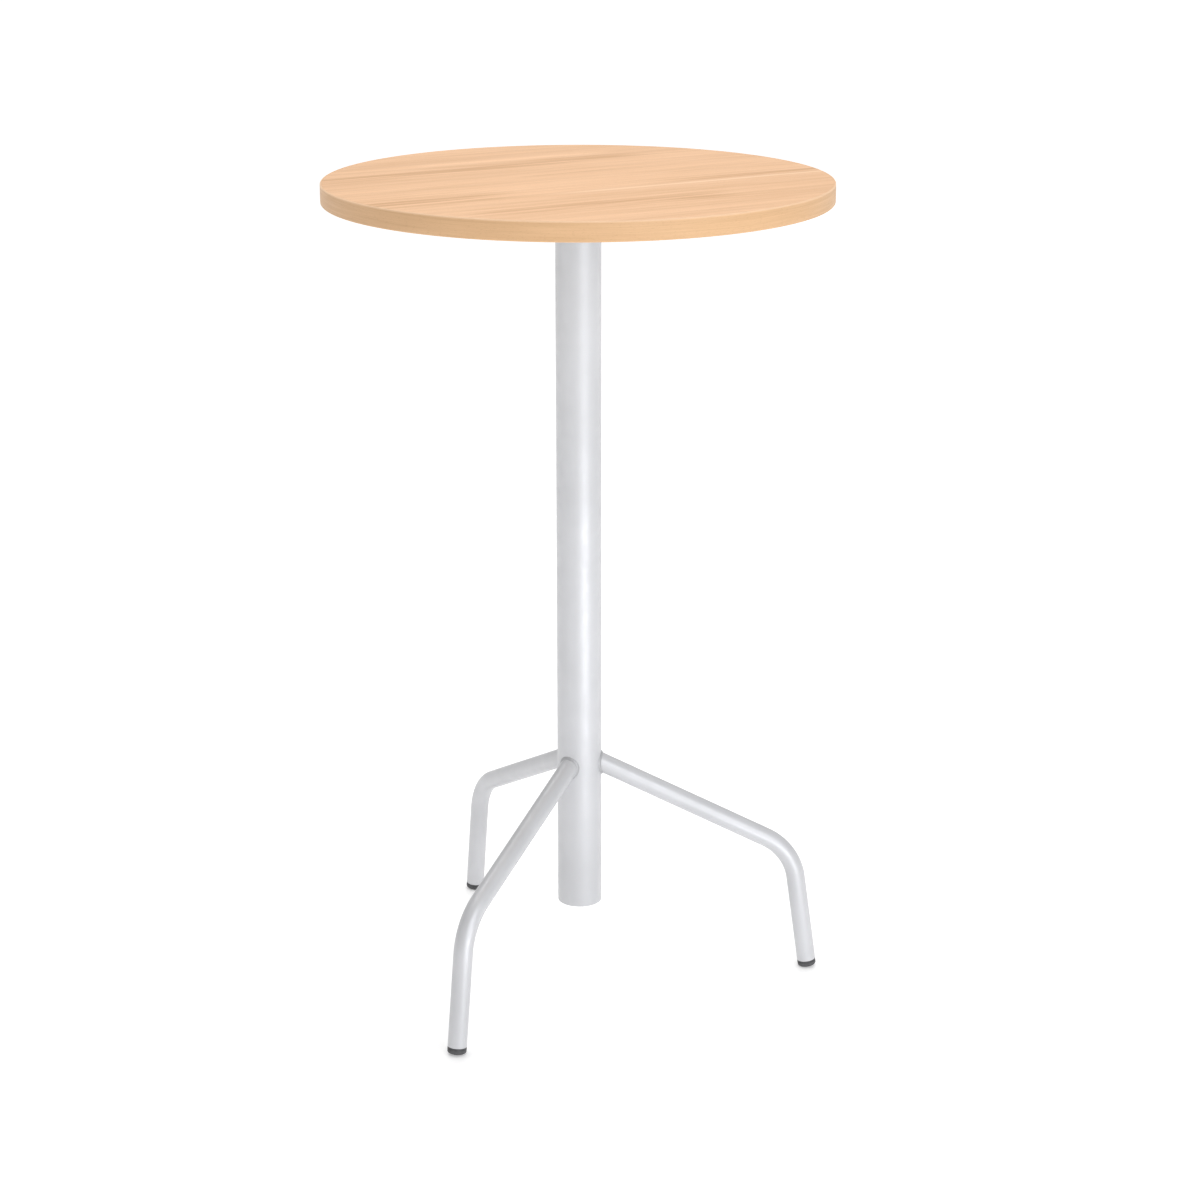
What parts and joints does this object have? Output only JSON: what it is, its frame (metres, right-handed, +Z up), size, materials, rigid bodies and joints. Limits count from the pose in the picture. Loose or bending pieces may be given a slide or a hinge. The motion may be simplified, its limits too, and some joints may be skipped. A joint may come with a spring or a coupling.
{
  "type": "standing meeting table",
  "caption": "Round standing-height table: beech-effect laminate top on one straight steel column, with bent tube legs welded to it and screw-in levelling feet.",
  "frame": {"origin": "on the floor under the column's axis", "axes": "+Z up the column, +X along leg 1; leg 2 is at 120 degrees and leg 3 at 240 degrees about +Z"},
  "size_m": [0.7, 0.7, 1.165],
  "materials": {
    "beech_laminate": "satin beech-effect laminate",
    "beech_edge": "satin beech-effect edge band",
    "chipboard": "raw chipboard",
    "backing_sheet": "plain matt balancing laminate",
    "silver_coat": "satin silver-grey powder coat",
    "dark_plastic": "matt dark grey moulded plastic",
    "zinc_steel": "bright zinc-plated steel"
  },
  "bodies": {
    "frame": {"top_core": "chipboard", "top_laminate": "beech_laminate", "underside_laminate": "backing_sheet", "edge_band": "beech_edge", "top_plate": "silver_coat", "top_plate_weld": "silver_coat", "top_screw_1": "zinc_steel", "top_screw_2": "zinc_steel", "top_screw_3": "zinc_steel", "top_screw_4": "zinc_steel", "top_screw_5": "zinc_steel", "top_screw_6": "zinc_steel", "top_screw_7": "zinc_steel", "top_screw_8": "zinc_steel", "column_tube": "silver_coat", "column_end_cap": "dark_plastic", "leg_tube_1": "silver_coat", "leg_weld_1": "silver_coat", "leg_insert_1": "dark_plastic", "insert_nut_1": "zinc_steel", "leg_tube_2": "silver_coat", "leg_weld_2": "silver_coat", "leg_insert_2": "dark_plastic", "insert_nut_2": "zinc_steel", "leg_tube_3": "silver_coat", "leg_weld_3": "silver_coat", "leg_insert_3": "dark_plastic", "insert_nut_3": "zinc_steel"},
    "stud_1": {"glide_stud_1": "zinc_steel"},
    "pad_1": {"glide_pad_1": "dark_plastic"},
    "stud_2": {"glide_stud_2": "zinc_steel"},
    "pad_2": {"glide_pad_2": "dark_plastic"},
    "stud_3": {"glide_stud_3": "zinc_steel"},
    "pad_3": {"glide_pad_3": "dark_plastic"}
  },
  "joints": [
    {"name": "stud_1_travel", "type": "slide", "parent": "frame", "child": "stud_1", "axis": [0.1392, 0, -0.9903], "range_m": [0, 0.012]},
    {"name": "pad_1_turn", "type": "hinge", "parent": "stud_1", "child": "pad_1", "pos_m": [0.337, 0, 0], "axis": [0.1392, 0, -0.9903], "range_deg": [0, 3420]},
    {"name": "stud_2_travel", "type": "slide", "parent": "frame", "child": "stud_2", "axis": [-0.0696, 0.1205, -0.9903], "range_m": [0, 0.012]},
    {"name": "pad_2_turn", "type": "hinge", "parent": "stud_2", "child": "pad_2", "pos_m": [-0.1685, 0.29185, 0], "axis": [-0.0696, 0.1205, -0.9903], "range_deg": [0, 3420]},
    {"name": "stud_3_travel", "type": "slide", "parent": "frame", "child": "stud_3", "axis": [-0.0696, -0.1205, -0.9903], "range_m": [0, 0.012]},
    {"name": "pad_3_turn", "type": "hinge", "parent": "stud_3", "child": "pad_3", "pos_m": [-0.1685, -0.29185, 0], "axis": [-0.0696, -0.1205, -0.9903], "range_deg": [0, 3420]}
  ],
  "couplings": [
    {"joint": "stud_1_travel", "follows": "pad_1_turn", "m_per_rad": 0.00019894},
    {"joint": "stud_2_travel", "follows": "pad_2_turn", "m_per_rad": 0.00019894},
    {"joint": "stud_3_travel", "follows": "pad_3_turn", "m_per_rad": 0.00019894}
  ]
}
